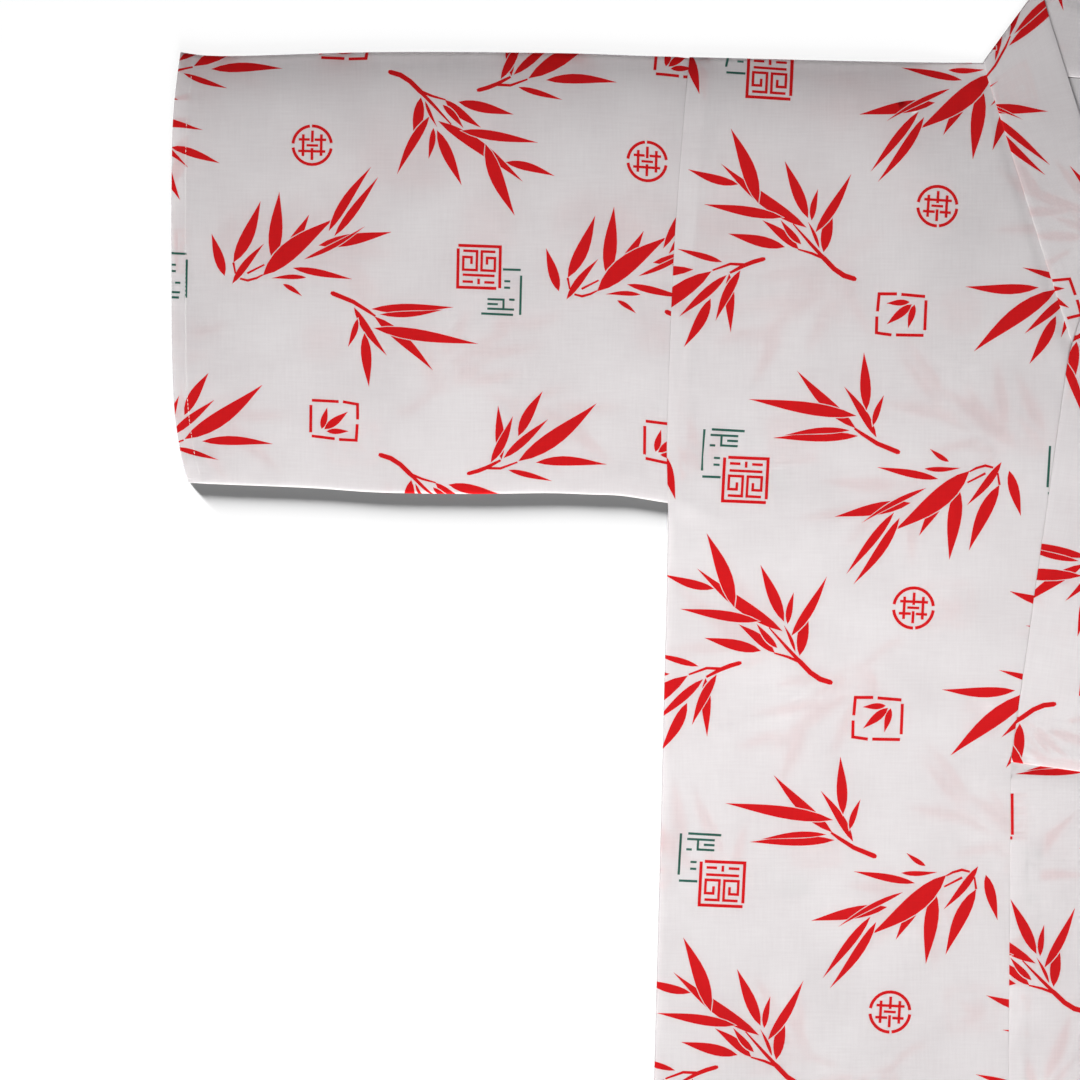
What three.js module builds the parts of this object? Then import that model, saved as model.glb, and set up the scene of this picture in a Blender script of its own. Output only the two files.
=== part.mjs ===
// Short cotton yukata, laid flat with its front up and closed left over right.
// Two body lengths run from the back hem over the shoulder to the front hem, and two wide sleeves are folded at
// the top. An okumi (overlap panel) is sewn to each front, and one collar runs round the neck and down both fronts.
// Millimetres, +Z up. +X is the viewer's right, which is the wearer's left, and +Y is towards the shoulders.
// The origin is the middle of the outline, on the surface that the garment lies on.
// A "reach" is a distance from the centre line towards a piece's own side, and is negative past the centre.
// A "depth" is a distance below the shoulder line.
import * as THREE from "three";

// Cloth
const wall = 1; // one layer of cloth
const gap = 0.3; // between two layers, and between two pieces at a seam
const layer = wall + gap; // from one layer up to the next
const backLevel = wall / 2; // middle of the layer that lies on the surface
const frontLevel = backLevel + layer;

// Lengths
const garmentLength = 880; // shoulder line to hem
const collarWidth = 55;
const neckHalf = 92; // neck point to the centre
const neckDepth = 4; // the neck point lies this far below the shoulder line
const neckDip = 12; // the back neckline's fall from the neck point to the centre
const gussetTop = { reach: 22, depth: 225 }; // where collar, front and okumi meet
const collarEnd = { reach: -17.6, depth: 508 }; // seam corner of the collar's lower end
const okumiAtHem = { seam: 75, front: -75 };
const topFade = 200; // depth below which the unevenness of the top fold is gone
const rollEnds = { none: 95, full: 155 }; // reaches between which the shoulder's soft roll comes in
const liftMargin = 25; // the upper front stays up this far past the lower front's edge
const liftRamp = 60; // and comes down over this much more

// Edge of a body length: the armhole, then the side seam
const sideEdge = [
  { depth: 0, reach: 300 },
  { depth: 38, reach: 304 },
  { depth: 137, reach: 311 },
  { depth: 272, reach: 316 },
  { depth: 330, reach: 315.2 },
  { depth: 456, reach: 318 },
  { depth: 577, reach: 321 },
  { depth: 687, reach: 324 },
  { depth: garmentLength, reach: 329 },
];

// Inner edge of a front: the collar seam, then the okumi seam
const frontEdge = [
  { depth: 0, reach: neckHalf },
  gussetTop,
  { depth: garmentLength, reach: okumiAtHem.seam },
];

// Outer edge of a sleeve
const cuffEdge = [
  { depth: 0, reach: 661 },
  { depth: 52, reach: 666 },
  { depth: 165, reach: 667.4 },
  { depth: 243, reach: 666 },
  { depth: 279, reach: 661.7 },
  { depth: 304, reach: 656 },
];

// Sewn bottom edge of a sleeve
const sleeveBottom = [
  { reach: 315, depth: 316.7 },
  { reach: 349, depth: 308.9 },
  { reach: 399, depth: 305.3 },
  { reach: 520, depth: 309.6 },
  { reach: 637, depth: 305.3 },
  { reach: 656, depth: 304 },
];

// How far the top fold lies above or below the shoulder line
const topEdge = [
  { reach: neckHalf, rise: -neckDepth },
  { reach: 153, rise: -3.5 },
  { reach: 300, rise: 0 },
  { reach: 328, rise: 0.7 },
  { reach: 392, rise: 2.8 },
  { reach: 520, rise: 3.5 },
  { reach: 626, rise: 0.7 },
  { reach: 647, rise: 1.4 },
  { reach: 661, rise: 3.5 },
];

// The top fold from back to front, as the middle of the wall: in, from the fold's outer edge, and up.
// The soft fold is a low roll of unpressed cloth, and the pressed one lies flat against the collar.
const foldSteps = [
  { softIn: 3, softUp: 0.55, pressedIn: 1.15, pressedUp: 0.5 },
  { softIn: 1.2, softUp: 1, pressedIn: 0.69, pressedUp: 0.69 },
  { softIn: 0.5, softUp: 1.9, pressedIn: 0.5, pressedUp: 1.15 },
  { softIn: 1.3, softUp: 2.9, pressedIn: 0.69, pressedUp: 1.61 },
  { softIn: 4, softUp: 3.9, pressedIn: 1.15, pressedUp: 1.8 },
  { softIn: 11, softUp: 4.7, pressedIn: 11, pressedUp: 1.8 },
  { softIn: 22, softUp: 5.2, pressedIn: 22, pressedUp: 1.8 },
  { softIn: 38, softUp: 5.4, pressedIn: 38, pressedUp: 1.8 },
  { softIn: 55, softUp: 5, pressedIn: 55, pressedUp: 1.8 },
  { softIn: 75, softUp: 3.8, pressedIn: 75, pressedUp: 1.8 },
  { softIn: 96, softUp: 2.4, pressedIn: 96, pressedUp: 1.8 },
  { softIn: 118, softUp: 1.8, pressedIn: 118, pressedUp: 1.8 },
];

const foldBackSteps = 2; // how many of these belong to the back
const softDepths = [75, 30]; // rows of the back under the roll
const flatDepths = [137, 180, 225, 272, 300]; // rows below the roll, alike on a sleeve and a body length
const bodyDepths = [330, 390, 456, 515, 577, 632, 687, 750, 815, garmentLength];
const neckShares = [1, 0.8, 0.6, 0.4, 0.2, 0]; // of neckHalf, for the corners of the back neckline
const bodyColumns = 13;
const sleeveShares = [0, 0.05, 0.14, 0.28, 0.42, 0.56, 0.7, 0.82, 0.9, 0.96, 1]; // from cuff to armhole
const creaseRoom = 3; // the back's corner stays this far off, where the collar turns over
const collarColumns = 6;
const collarShares = [0, 0.02, 0.04, 0.06, 0.12, 0.2, 0.28, 0.36, 0.4479, 0.53, 0.61, 0.69, 0.77, 0.85, 0.93, 1];
const fanShare = 0.06; // the collar's first rows fan out from the crease over this share of its seam
const bendSteps = 6; // faces round a pressed fold
const bendRadius = layer / 2;

// Straight-line interpolation in a table, held at its ends.
function along(table, key, value, at) {
  const next = table.findIndex((row) => row[key] >= at);
  if (next === 0) return table[0][value];
  if (next < 0) return table[table.length - 1][value];
  const [a, b] = [table[next - 1], table[next]];
  return THREE.MathUtils.mapLinear(at, a[key], b[key], a[value], b[value]);
}

const lerp = THREE.MathUtils.lerp;
const smooth = (share) => THREE.MathUtils.smoothstep(share, 0, 1);

// The collar's free edge lies a collar's width from its seam.
function offsetToFree(from, to) {
  const alongSeam = new THREE.Vector2(to.reach - from.reach, to.depth - from.depth).normalize();
  return new THREE.Vector2(-alongSeam.y, alongSeam.x).multiplyScalar(collarWidth);
}
const neckPoint = { reach: neckHalf, depth: neckDepth };
const upperFree = offsetToFree(neckPoint, gussetTop);
const lowerFree = offsetToFree(gussetTop, collarEnd);
const shifted = (point, by) => ({ reach: point.reach + by.x, depth: point.depth + by.y });

// The collar turns over at the side of the neck along a crease that halves the angle between front and back.
const upSeam = new THREE.Vector2(neckHalf - gussetTop.reach, neckDepth - gussetTop.depth).normalize();
const creaseWay = upSeam.clone().add(new THREE.Vector2(-1, 0)).normalize();
const creaseLength = collarWidth / Math.abs(creaseWay.y);
const creaseTop = shifted(neckPoint, creaseWay.clone().multiplyScalar(creaseLength));

const collarSeam = [neckPoint, gussetTop, collarEnd];
const collarFree = [
  creaseTop,
  shifted(neckPoint, upperFree),
  shifted(gussetTop, upperFree.clone().add(lowerFree).multiplyScalar(0.5)),
  shifted(collarEnd, lowerFree),
];
const frontCorner = collarFree[collarFree.length - 1];

const shoulderY = (garmentLength + creaseTop.depth) / 2; // centres the outline on the origin

// Height of the top fold at a reach, fading out with depth
const riseAt = (reach, depth) =>
  along(topEdge, "reach", "rise", reach) * Math.max(0, 1 - depth / topFade);

// The lower front's free edge, in the upper front's reach, as depth goes down
const lowerFrontEdge = [...collarFree, { reach: okumiAtHem.front, depth: garmentLength }];
function liftAt(reach, depth) {
  const edge = -along(lowerFrontEdge, "depth", "reach", depth);
  return layer * smooth((edge + liftMargin + liftRamp - reach) / liftRamp);
}

// One step of the top fold, between soft and pressed.
function foldStep(step, softness) {
  return {
    depth: lerp(step.pressedIn, step.softIn, softness),
    up: lerp(step.pressedUp, step.softUp, softness),
  };
}

// Outward normals along a section that goes up the back, over the top and down the front.
function withNormals(section, closed) {
  const last = section.length - 1;
  return section.map((point, i) => {
    const before = section[i > 0 ? i - 1 : closed ? last : 0];
    const after = section[i < last ? i + 1 : closed ? 0 : last];
    const way = new THREE.Vector2(after.depth - before.depth, after.up - before.up).normalize();
    return { ...point, normal: new THREE.Vector3(0, way.y, way.x) };
  });
}

// A wall of cloth round rows of points, each with its normal. Rows run up the back and down the front, and
// columns run towards +X. A closed wall joins its last row to its first.
function clothWall(rows, closed = false) {
  const columns = rows[0].length;
  const positions = [];
  for (const side of [1, -1])
    for (const row of rows)
      for (const { point, normal } of row)
        positions.push(...point.clone().addScaledVector(normal, (side * wall) / 2).toArray());
  const inner = rows.length * columns;
  const at = (i, j) => (i % rows.length) * columns + j;
  const faces = [];
  const quad = (a, b, c, d) => faces.push(a, b, c, a, c, d);
  const lastRow = closed ? rows.length : rows.length - 1;
  for (let i = 0; i < lastRow; i++) {
    for (let j = 0; j < columns - 1; j++) {
      const [a, b, c, d] = [at(i, j), at(i + 1, j), at(i + 1, j + 1), at(i, j + 1)];
      quad(a, b, c, d);
      quad(a + inner, d + inner, c + inner, b + inner);
    }
    quad(at(i, 0), at(i, 0) + inner, at(i + 1, 0) + inner, at(i + 1, 0));
    const end = columns - 1;
    quad(at(i, end), at(i + 1, end), at(i + 1, end) + inner, at(i, end) + inner);
  }
  for (let j = 0; j < columns - 1 && !closed; j++) {
    const foot = rows.length - 1;
    quad(at(0, j), at(0, j + 1), at(0, j + 1) + inner, at(0, j) + inner);
    quad(at(foot, j), at(foot, j) + inner, at(foot, j + 1) + inner, at(foot, j + 1));
  }
  const geometry = new THREE.BufferGeometry();
  geometry.setAttribute("position", new THREE.Float32BufferAttribute(positions, 3));
  geometry.setIndex(faces);
  geometry.computeVertexNormals();
  return geometry;
}

const placed = (side, reach, depth, up) => new THREE.Vector3(side * reach, shoulderY - depth, up);

// Turns sections that start at the outer edge into rows of placed points that run towards +X.
function rowsAcross(sections, side) {
  return sections[0].map((_, i) => {
    const row = sections.map((section) => {
      const { reach, depth, up, normal } = section[i];
      return { point: placed(side, reach, depth, up), normal };
    });
    return side < 0 ? row : row.reverse();
  });
}

// A fold pressed flat, from the upper layer round to the lower one.
function pressedBend() {
  return Array.from({ length: bendSteps + 1 }, (_, i) => {
    const angle = (Math.PI * i) / bendSteps;
    const [normalOut, normalUp] = [Math.sin(angle), Math.cos(angle)];
    return {
      out: bendRadius * normalOut,
      up: backLevel + bendRadius * (1 + normalUp),
      normalOut,
      normalUp,
    };
  });
}

// A body length. The right one (side -1) has its front in the second layer, and the left one lies over it.
function bodyLength(side) {
  const backEdge = neckShares.map((share) => ({
    depth: neckDip * (1 - share * share),
    reach: share * neckHalf + (share === 1 ? creaseRoom : 0),
  }));
  const backDepths = [
    ...[...flatDepths, ...bodyDepths].reverse(),
    ...softDepths,
    ...backEdge.slice(1).map((corner) => corner.depth).reverse(),
  ];
  const frontDepths = [...flatDepths, ...bodyDepths];
  const flatStep = (depth, up) => ({ softIn: depth, softUp: up, pressedIn: depth, pressedUp: up });
  const steps = [
    ...backDepths.map((depth) => ({ ...flatStep(depth, backLevel), edge: backEdge })),
    ...foldSteps.map((step, i) => ({ ...step, edge: i < foldBackSteps ? backEdge : frontEdge })),
    ...frontDepths.map((depth) => ({ ...flatStep(depth, frontLevel), edge: frontEdge })),
  ];
  const columns = Array.from({ length: bodyColumns }, (_, j) => {
    const section = steps.map((step) => {
      const outer = along(sideEdge, "depth", "reach", step.softIn);
      const inner = along(step.edge, "depth", "reach", step.pressedIn) + gap / 2;
      const reach = lerp(outer, inner, j / (bodyColumns - 1));
      const { depth, up } = foldStep(step, smooth((reach - rollEnds.none) / (rollEnds.full - rollEnds.none)));
      const lift = side > 0 && step.edge === frontEdge ? liftAt(reach, depth) : 0;
      return { reach, depth: depth - riseAt(reach, depth), up: up + lift };
    });
    return withNormals(section, false);
  });
  return clothWall(rowsAcross(columns, side));
}

// A sleeve: one piece folded at the top, sewn along the bottom, open at the cuff and the armhole.
function sleeve(side) {
  const armholeBottom = sleeveBottom[0].depth;
  const cuffBottom = cuffEdge[cuffEdge.length - 1].depth;
  const bottomFold = pressedBend().reverse().map(({ out, up }) => ({
    depth: armholeBottom - bendRadius - wall / 2 + out,
    up,
  }));
  const ring = [
    ...[...flatDepths].reverse().map((depth) => ({ depth, up: backLevel })),
    ...softDepths.map((depth) => ({ depth, up: backLevel })),
    ...foldSteps.map((step) => foldStep(step, 1)),
    ...flatDepths.map((depth) => ({ depth, up: frontLevel })),
    ...bottomFold,
  ];
  const columns = sleeveShares.map((share) => {
    const section = ring.map(({ depth, up }) => {
      const armhole = along(sideEdge, "depth", "reach", depth) + gap;
      const cuff = along(cuffEdge, "depth", "reach", (depth * cuffBottom) / armholeBottom);
      const reach = lerp(cuff, armhole, share);
      const longer = along(sleeveBottom, "reach", "depth", reach) - armholeBottom;
      const stretched = depth + longer * (depth / armholeBottom) ** 2;
      return { reach, depth: stretched - riseAt(reach, depth), up };
    });
    return withNormals(section, true);
  });
  return clothWall(rowsAcross(columns, side), true);
}

// The okumi, sewn between the front and the collar: a flat gore that widens from the collar to the hem.
function okumi(side) {
  const top = gussetTop.depth + 10; // where the gore is wide enough to be a solid
  const seamAt = (depth) => along(frontEdge, "depth", "reach", depth) - gap;
  const collarAt = (depth) => along(collarSeam, "depth", "reach", depth) + gap;
  const outline = [
    [seamAt(top), top],
    [seamAt(garmentLength), garmentLength],
    [okumiAtHem.front, garmentLength],
    [frontCorner.reach, frontCorner.depth + gap],
    [collarEnd.reach, collarEnd.depth + gap],
    [collarAt(collarEnd.depth), collarEnd.depth - gap],
    [collarAt(top), top],
  ];
  const shape = new THREE.Shape(
    outline.map(([reach, depth]) => new THREE.Vector2(side * reach, shoulderY - depth)),
  );
  const geometry = new THREE.ExtrudeGeometry(shape, { depth: wall, bevelEnabled: false });
  const level = side < 0 ? frontLevel : frontLevel + layer;
  return geometry.translate(0, 0, level - wall / 2);
}

// The collar: one strip up the right front, over at the neck, along the back neckline and down the left front.
function collar() {
  const toVector = ({ reach, depth }) => new THREE.Vector2(reach, depth);
  const seamPath = new THREE.Path(collarSeam.map(toVector));
  const freePath = new THREE.Path(collarFree.map(toVector));
  const lead = 1 - seamPath.getLength() / freePath.getLength();
  const outward = new THREE.Vector2(-creaseWay.y, creaseWay.x); // away from the crease, over the shoulder
  const inset = bendRadius + wall / 2;

  // A row of points from the free edge to the seam, which keeps a gap to what it is sewn to
  const row = (side, seam, free, heightAt, normal) =>
    Array.from({ length: collarColumns }, (_, j) => {
      const spot = free.clone().lerp(seam, (j / (collarColumns - 1)) * (1 - gap / collarWidth));
      return { point: placed(side, spot.x, spot.y, heightAt(spot)), normal };
    });

  // Rows of a front, from its lower end up to the crease
  const frontRows = (side) =>
    collarShares.map((share) => {
      const fan = Math.min(1, share / fanShare);
      const seam = seamPath.getPointAt(share);
      const free = freePath.getPointAt(share + lead * (1 - share) * fan);
      if (share === 0) for (const end of [seam, free]) end.addScaledVector(outward, -inset);
      const heightAt = ({ x, y }) => frontLevel + (side > 0 ? liftAt(x, y) : 0);
      return row(side, seam, free, heightAt, new THREE.Vector3(0, 0, 1));
    }).reverse();

  // Rows round the crease, from the front down to the back
  const bendRows = (side) =>
    pressedBend().slice(1).map(({ out, up, normalOut, normalUp }) => {
      const [seam, free] = [neckPoint, creaseTop].map((end) =>
        toVector(end).addScaledVector(outward, out - inset));
      const normal = new THREE.Vector3(side * outward.x * normalOut, -outward.y * normalOut, normalUp);
      return row(side, seam, free, () => up, normal);
    });

  // Rows of the back, from beside the neck point to the centre
  const backRows = (side) =>
    neckShares.slice(1).map((share) => {
      const dip = neckDip * (1 - share * share);
      const seam = new THREE.Vector2(neckHalf * share, neckDepth + dip - 2 * gap);
      const free = new THREE.Vector2(creaseTop.reach * share, creaseTop.depth + dip);
      return row(side, seam, free, () => backLevel, new THREE.Vector3(0, 0, -1));
    });

  return clothWall([
    ...frontRows(-1),
    ...bendRows(-1),
    ...backRows(-1),
    ...backRows(1).slice(0, -1).reverse(),
    ...bendRows(1).reverse(),
    ...frontRows(1).reverse(),
  ]);
}

const cloth = () => new THREE.MeshStandardMaterial({ color: "#e9e2e1", roughness: 0.85, metalness: 0 });
function piece(name, geometry) {
  const mesh = new THREE.Mesh(geometry, cloth());
  mesh.name = name;
  return mesh;
}

const yukata = new THREE.Group();
for (const [name, side] of [["right", -1], ["left", 1]]) {
  yukata.add(piece(`body_${name}`, bodyLength(side)));
  yukata.add(piece(`sleeve_${name}`, sleeve(side)));
  yukata.add(piece(`okumi_${name}`, okumi(side)));
}
yukata.add(piece("collar", collar()));

export default yukata;
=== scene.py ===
import math
from itertools import product
import bpy
import bmesh
from mathutils import Matrix, Vector, noise
from mathutils.geometry import delaunay_2d_cdt


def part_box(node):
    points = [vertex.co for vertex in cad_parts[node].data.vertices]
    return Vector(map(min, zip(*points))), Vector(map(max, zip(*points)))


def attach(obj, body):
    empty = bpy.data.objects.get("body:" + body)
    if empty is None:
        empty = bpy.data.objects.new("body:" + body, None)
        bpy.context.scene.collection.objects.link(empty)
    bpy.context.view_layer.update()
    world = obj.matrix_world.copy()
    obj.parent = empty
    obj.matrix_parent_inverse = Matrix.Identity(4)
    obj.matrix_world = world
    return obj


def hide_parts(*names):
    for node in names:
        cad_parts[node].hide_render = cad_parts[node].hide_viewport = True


# Short cotton yukata, laid flat with its front up. Lengths are in millimetres until a point is placed.
# A reach is a distance from the centre line towards a piece's own side, and a depth is measured down from
# the shoulder line. A run follows the cloth itself: 0 on the top fold, positive down the front, negative
# down the back.

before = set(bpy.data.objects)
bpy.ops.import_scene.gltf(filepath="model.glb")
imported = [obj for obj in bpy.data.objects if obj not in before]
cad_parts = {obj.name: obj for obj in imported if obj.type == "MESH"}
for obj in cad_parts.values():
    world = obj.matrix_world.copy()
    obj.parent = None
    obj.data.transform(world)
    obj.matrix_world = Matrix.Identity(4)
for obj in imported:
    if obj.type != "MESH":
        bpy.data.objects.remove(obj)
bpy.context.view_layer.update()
mm = 0.001
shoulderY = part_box("body_right")[1].y / mm
print("frame loaded, shoulder line at", round(shoulderY, 1), "mm")


def addObject(name, data):
    thing = bpy.data.objects.new(name, data)
    bpy.context.scene.collection.objects.link(thing)
    return thing


# Camera

cameraSetup = {
    "over": (-406.1, 71.6),    # straight down over the right sleeve, as the photograph was taken
    "distance": 1810.5,
    "clothLevel": 2,
    "lens": 85,
    "sensor": 36,
    "clip": (0.05, 50),        # metres
}


def makeCamera(setup):
    data = bpy.data.cameras.new("camera")
    data.lens = setup["lens"]
    data.sensor_width = setup["sensor"]
    data.clip_start, data.clip_end = setup["clip"]
    camera = addObject("camera", data)
    x, y = setup["over"]
    camera.location = Vector((x, y, setup["clothLevel"] + setup["distance"])) * mm
    bpy.context.scene.camera = camera


makeCamera(cameraSetup)
print("camera placed")

# The garment's form, as the solids have it

garment = {
    "length": 880,
    "collarWidth": 55,
    "neckTop": (92, 0),         # reach and depth
    "neckPoint": (92, 4),
    "neckDip": 12,
    "gussetTop": (22, 225),     # where collar, front and okumi meet
    "collarEnd": (-17.6, 508),
    "okumiSeamAtHem": (75, 880),
    "okumiFrontAtHem": -75,
    "okumiTop": 235,
    "sleeveDepth": 316.7,       # at the armhole
    "cuffDepth": 304,
    "gap": 0.3,
    "frontLevel": 2.3,          # top face of the lower front
    "layer": 1.3,
    "topFade": 200,
    "rollStarts": 95,           # reach where the shoulder's soft roll comes in
    "rollFull": 155,
    "liftMargin": 25,           # the upper front stays up this far past the lower front's edge
    "liftRamp": 60,
}
sideEdge = [(0, 300), (38, 304), (137, 311), (272, 316), (330, 315.2), (456, 318), (577, 321), (687, 324),
            (880, 329)]         # depth, reach
frontEdge = [(garment[k][1], garment[k][0]) for k in ("neckTop", "gussetTop", "okumiSeamAtHem")]
cuffEdge = [(0, 661), (52, 666), (165, 667.4), (243, 666), (279, 661.7), (304, 656)]
sleeveBottom = [(315, 316.7), (349, 311.4), (370, 310.6), (399, 309.6), (455, 310.2), (520, 309.2),
                (570, 305.9), (637, 303.2), (656, 302.2)]       # reach, depth
topEdge = [(92, -4), (153, -3.5), (300, 0), (328, 0.7), (392, 2.8), (520, 3.5), (626, 0.7), (647, 1.4),
           (661, 3.5)]          # reach, rise of the fold above the shoulder line

# The outer face of the top fold, from back to front: in from the fold's edge, and up.
# The first pair is a soft unpressed roll, and the second is pressed flat beside the collar.
foldRows = [
    (9, 0, 9, 0),
    (5, 0.15, 5, 0),
    (2.2, 0.7, 1.6, 0),
    (0.7, 1.7, 0.5, 0.25),
    (0.2, 3, 0, 1.15),
    (0.8, 4.2, 0.5, 2.05),
    (2.6, 5.1, 1.6, 2.3),
    (6, 5.9, 6, 2.3),
    (12, 7, 12, 2.3),
    (20, 8, 20, 2.3),
    (30, 8.7, 30, 2.3),
    (42, 9, 42, 2.3),
    (58, 8.8, 58, 2.3),
    (80, 8, 80, 2.3),
    (110, 6.6, 110, 2.3),
    (150, 4.9, 150, 2.3),
    (190, 3.7, 190, 2.3),
    (235, 2.8, 235, 2.3),
    (280, 2.4, 280, 2.3),
    (310, 2.3, 310, 2.3),
]
foldTop = 4                     # the row at the fold's outer edge

cloth = {
    "thickness": 0.25,          # fine plain-weave cotton
    "turnRadius": 0.33,         # of a pressed hem or allowance
    "seamRadius": 1.15,         # where two layers meet round a sewn edge
    "tuck": 6,                  # a panel runs on this far beneath its neighbour at a seam
    "tuckFall": 0.75,           # how far it drops there
    "collarFall": 1.05,         # the same beside the collar, which is thicker
    "tuckRun": 10,
    "grid": 9,                  # mesh spacing away from edges
    "frontGrid": 7,             # below the top fold, where the creases lie
    "hemGrid": 5,
    "stepGrid": 4,              # where a panel's outline steps in or out
    "hair": 0.01,               # a row this near a turn's start still lies before it
    "clearance": 0.3,           # share of that spacing kept free beside a guide line
    "nearest": 0.02,            # guides stop this far short of an edge, and narrower triangles are closed up
    "weld": 1e-4,
    "hemSetIn": 1.5,            # a hem's ends lie this far inside the side edges
    "rippleFrom": 60,           # run over which the creases come in below the top fold
}

# Creases that were left in the cloth: from, to, half width, height (a trough is negative)
creases = [
    ((-628, 118), (-660, 104), 4, 0.9),
    ((-622, 110), (-650, 99), 2.6, -0.7),
    ((-640, 132), (-664, 122), 3.2, 0.6),
    ((-600, 104), (-560, 108), 5, 0.4),
    ((-312, 92), (-296, 76), 3.5, -0.9),
    ((-304, 98), (-280, 84), 5, 0.6),
    ((-330, 112), (-352, 118), 6, 0.5),
    ((-200, -190), (-170, -300), 26, -0.8),
    ((-250, -60), (-225, -150), 20, 0.5),
    ((-470, 250), (-400, 236), 16, 0.35),
    ((-560, 200), (-520, 150), 14, 0.35),
    ((-120, 60), (-90, -40), 14, 0.7),
    ((-60, -220), (-20, -330), 18, 0.6),
    ((631, 119), (662, 106), 4.5, 0.8),
    ((620, 108), (646, 101), 3, -0.6),
    ((311, 93), (292, 74), 4, -0.8),
    ((300, 99), (276, 88), 5, 0.6),
    ((230, -40), (205, -180), 22, 0.6),
    ((260, -260), (220, -380), 24, -0.7),
    ((500, 230), (570, 215), 15, 0.4),
    ((120, 210), (160, 90), 17, 0.6),
]
unevenness = {"size": 130, "height": 0.5}
creaseEnds = {
    "past": 0.3,            # it runs on by this share of its length
    "fade": 0.5,            # and fades over this share
    "halfWidths": 3,        # how far to each side it is followed
}


def lerp(a, b, share):
    return a + (b - a) * share


def smooth(share):
    share = min(1, max(0, share))
    return share * share * (3 - 2 * share)


# A curve through a short table, held at its ends, with straight stretches where it isn't rounded
def along(table, at, rounded=True):
    if at <= table[0][0]:
        return table[0][1]
    if at >= table[-1][0]:
        return table[-1][1]
    i = max(k for k in range(len(table) - 1) if table[k][0] <= at)
    (x0, y0), (x1, y1) = table[i], table[i + 1]
    s = (at - x0) / (x1 - x0)
    if not rounded:
        return lerp(y0, y1, s)
    before = table[max(0, i - 1)]
    after = table[min(len(table) - 1, i + 2)]
    rise0 = (y1 - before[1]) / (x1 - before[0]) * (x1 - x0)
    rise1 = (after[1] - y0) / (after[0] - x0) * (x1 - x0)
    bend = (s - 1) * rise0 * (s - 1) * s + rise1 * (s - 1) * s * s
    return lerp(y0, y1, s * s * (3 - 2 * s)) + bend


# How far cloth that turns under still goes on, and how far it has dropped, once it is past the turn's start
def turned(past, radius):
    angle = past / radius
    if angle <= 0:
        return past, 0
    if angle < math.pi:
        return radius * math.sin(angle), radius * (1 - math.cos(angle))
    return math.pi * radius - past, 2 * radius


# The top fold

foldRuns = [0] * len(foldRows)
for i in range(foldTop + 1, len(foldRows)):
    foldRuns[i] = foldRuns[i - 1] + math.dist(foldRows[i][:2], foldRows[i - 1][:2])
for i in range(foldTop - 1, -1, -1):
    foldRuns[i] = foldRuns[i + 1] - math.dist(foldRows[i][:2], foldRows[i + 1][:2])
foldTables = [[(run, row[k]) for run, row in zip(foldRuns, foldRows)] for k in range(4)]
frontExtra = foldRuns[-1] - foldRows[-1][0]     # how much longer the run is than the depth
backExtra = -foldRuns[0] - foldRows[0][0]


def foldPoint(run, softness):
    softIn, softUp, pressedIn, pressedUp = [along(table, run) for table in foldTables]
    past = max(0, foldRuns[0] - run, run - foldRuns[-1])
    return lerp(pressedIn, softIn, softness) + past, lerp(pressedUp, softUp, softness)


def runAt(depth, face):
    return depth + frontExtra if face > 0 else -depth - backExtra


# A point of the fold's section, moved into the fold by a drop
def sectionPoint(run, softness, drop):
    depth, up = foldPoint(run, softness)
    if drop:
        before = foldPoint(run - cloth["turnRadius"], softness)
        after = foldPoint(run + cloth["turnRadius"], softness)
        way = (Vector(after) - Vector(before)).normalized()
        depth += way.y * drop
        up -= way.x * drop
    return depth, up


def riseAt(reach, depth):
    return along(topEdge, reach) * max(0, 1 - depth / garment["topFade"])


# The collar's lines: seam edge and free edge

def offsetToFree(start, end):
    way = (Vector(end) - Vector(start)).normalized()
    return Vector((-way.y, way.x)) * garment["collarWidth"]


neckPoint, gussetTop, collarEnd = [Vector(garment[k]) for k in ("neckPoint", "gussetTop", "collarEnd")]
upperFree = offsetToFree(neckPoint, gussetTop)
lowerFree = offsetToFree(gussetTop, collarEnd)
creaseWay = ((neckPoint - gussetTop).normalized() + Vector((-1, 0))).normalized()
creaseTop = neckPoint + creaseWay * (garment["collarWidth"] / abs(creaseWay.y))
collarSeam = [neckPoint, gussetTop, collarEnd]
collarFree = [
    creaseTop,
    neckPoint + upperFree,
    gussetTop + (upperFree + lowerFree) / 2,
    collarEnd + lowerFree,
]
frontCorner = collarFree[-1]
okumiHem = (garment["okumiFrontAtHem"], garment["length"])
lowerFrontEdge = [(p[1], p[0]) for p in [*collarFree, okumiHem]]
collarSeamAt = [(p[1], p[0]) for p in collarSeam]
collarFoot = [(frontCorner.x, frontCorner.y), (collarEnd.x, collarEnd.y)]
okumiFreeAt = [(frontCorner.y, frontCorner.x), (garment["length"], garment["okumiFrontAtHem"])]


# The upper front rises by one layer where it lies over the lower one
def liftAt(reach, depth):
    edge = -along(lowerFrontEdge, depth, rounded=False)
    share = (edge + garment["liftMargin"] + garment["liftRamp"] - reach) / garment["liftRamp"]
    return garment["layer"] * smooth(share)


# Height of the creases and of the cloth's general unevenness
def ripple(x, y):
    spot = Vector((x, y))
    height = unevenness["height"] * noise.noise(Vector((x, y, 40)) / unevenness["size"])
    past, fadeRun = creaseEnds["past"], creaseEnds["fade"]
    for first, last, width, most in creases:
        start = Vector(first)
        way = Vector(last) - start
        share = (spot - start).dot(way) / way.length_squared
        if -past < share < 1 + past:
            off = (spot - start - way * share).length / width
            if off < creaseEnds["halfWidths"]:
                fade = smooth((share + past) / fadeRun) * smooth((1 + past - share) / fadeRun)
                height += most * math.exp(-off * off) * fade
    return height


def placed(side, reach, depth, up):
    return Vector((side * reach, shoulderY - depth, up)) * mm


# Print: bamboo-leaf sprays with generic seal marks between them

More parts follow.
